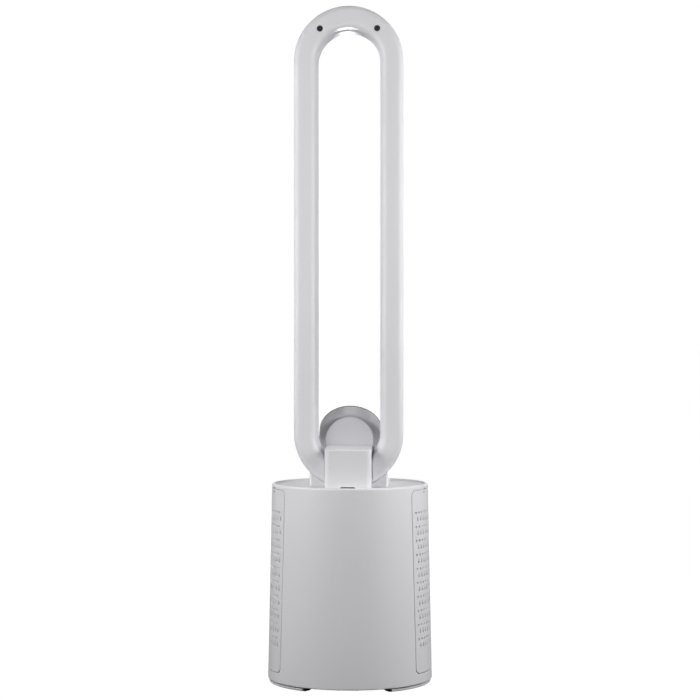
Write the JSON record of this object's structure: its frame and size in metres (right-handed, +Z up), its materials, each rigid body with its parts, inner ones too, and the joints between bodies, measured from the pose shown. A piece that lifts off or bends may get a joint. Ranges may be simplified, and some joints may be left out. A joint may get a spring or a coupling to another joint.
{
  "type": "bladeless fan",
  "caption": "Bladeless tower fan with a tall racetrack air loop, a tilted round control drum and a round swivelling base with perforated filter doors.",
  "frame": {"origin": "on the floor, under the middle of the round base", "axes": "+Z up; the display side faces -Y and the duct cover, which the picture shows, faces +Y; +X is to the right when the display is seen"},
  "size_m": [0.2186, 0.2186, 0.8939],
  "materials": {
    "shell_white": "satin moulded plastic with a very fine grain",
    "base_grey": "satin moulded plastic",
    "inner_grey": "plain moulded plastic",
    "impeller_grey": "plain moulded plastic",
    "steel": "zinc plated",
    "motor_steel": "zinc plated",
    "aluminium": "cast",
    "rubber_black": "matte",
    "plug_black": "satin",
    "gear_acetal": "slippery acetal",
    "plastic_black": "satin",
    "trim_dark": "dark tinted bright metal",
    "glass_black": "high gloss",
    "board_green": "solder mask",
    "foam_grey": "closed-cell foam",
    "copper_winding": "enamelled copper",
    "mesh_grey": "fine nylon mesh",
    "filter_white": "pleated fleece"
  },
  "bodies": {
    "foot": {"base_plate": "base_grey", "cord_tunnel": "base_grey", "bottom_cover": "base_grey", "ballast_plate": "steel", "rubber_feet": "rubber_black", "swivel_post": "steel", "retaining_ring": "steel", "sun_gear": "gear_acetal", "glide_pads": "gear_acetal", "power_inlet": "plastic_black", "bottom_screws": "steel"},
    "housing": {"chassis_plate": "inner_grey", "chassis_screws": "steel", "body_shell": "shell_white", "top_deck": "shell_white", "deck_screws": "steel", "door_catches": "inner_grey", "neck_saddle": "shell_white", "loop_cradle": "inner_grey", "loop_rear_shell": "shell_white", "loop_front_shell": "shell_white", "loop_inner_wall": "shell_white", "slit_spacers": "inner_grey", "loop_screws": "steel", "screw_plugs": "plug_black", "rear_duct_cover": "shell_white", "pod_body": "shell_white", "pod_rear_cap": "shell_white", "drum_shell": "shell_white", "display_trim": "trim_dark", "display_glass": "glass_black", "display_board": "board_green", "digit_module": "plastic_black", "duct_gasket": "foam_grey", "plenum_cone": "inner_grey", "fan_duct": "inner_grey", "inlet_bellmouth": "inner_grey", "duct_posts": "inner_grey", "diffuser": "inner_grey", "motor_frame": "aluminium", "motor_isolator": "rubber_black", "motor_stator": "copper_winding", "shaft_bearings": "steel", "swing_motor": "motor_steel", "main_board": "board_green", "power_board": "board_green", "wire_harness": "plastic_black"},
    "impeller": {"impeller": "impeller_grey", "rotor_bell": "motor_steel", "motor_shaft": "steel", "impeller_nut": "steel"},
    "pinion": {"drive_pinion": "gear_acetal"},
    "door_left": {"filter_door_left": "shell_white", "prefilter_left": "mesh_grey", "filter_frame_left": "inner_grey", "filter_media_left": "filter_white"},
    "door_right": {"filter_door_right": "shell_white", "prefilter_right": "mesh_grey", "filter_frame_right": "inner_grey", "filter_media_right": "filter_white"}
  },
  "joints": [
    {"name": "oscillation", "type": "hinge", "parent": "foot", "child": "housing", "pos_m": [0, 0, 0.0175], "axis": [0, 0, 1], "range_deg": [-40, 40]},
    {"name": "impeller_spin", "type": "hinge", "parent": "housing", "child": "impeller", "pos_m": [0, 0, 0.15], "axis": [0, 0, 1], "continuous": true},
    {"name": "pinion_spin", "type": "hinge", "parent": "housing", "child": "pinion", "pos_m": [0, -0.04, 0.01], "axis": [0, 0, 1], "range_deg": [-125, 125]},
    {"name": "door_left_pull", "type": "slide", "parent": "housing", "child": "door_left", "axis": [-1, 0, 0], "range_m": [0, 0.06]},
    {"name": "door_right_pull", "type": "slide", "parent": "housing", "child": "door_right", "axis": [1, 0, 0], "range_m": [0, 0.06]}
  ],
  "couplings": [
    {"joint": "pinion_spin", "follows": "oscillation", "ratio": 3}
  ]
}
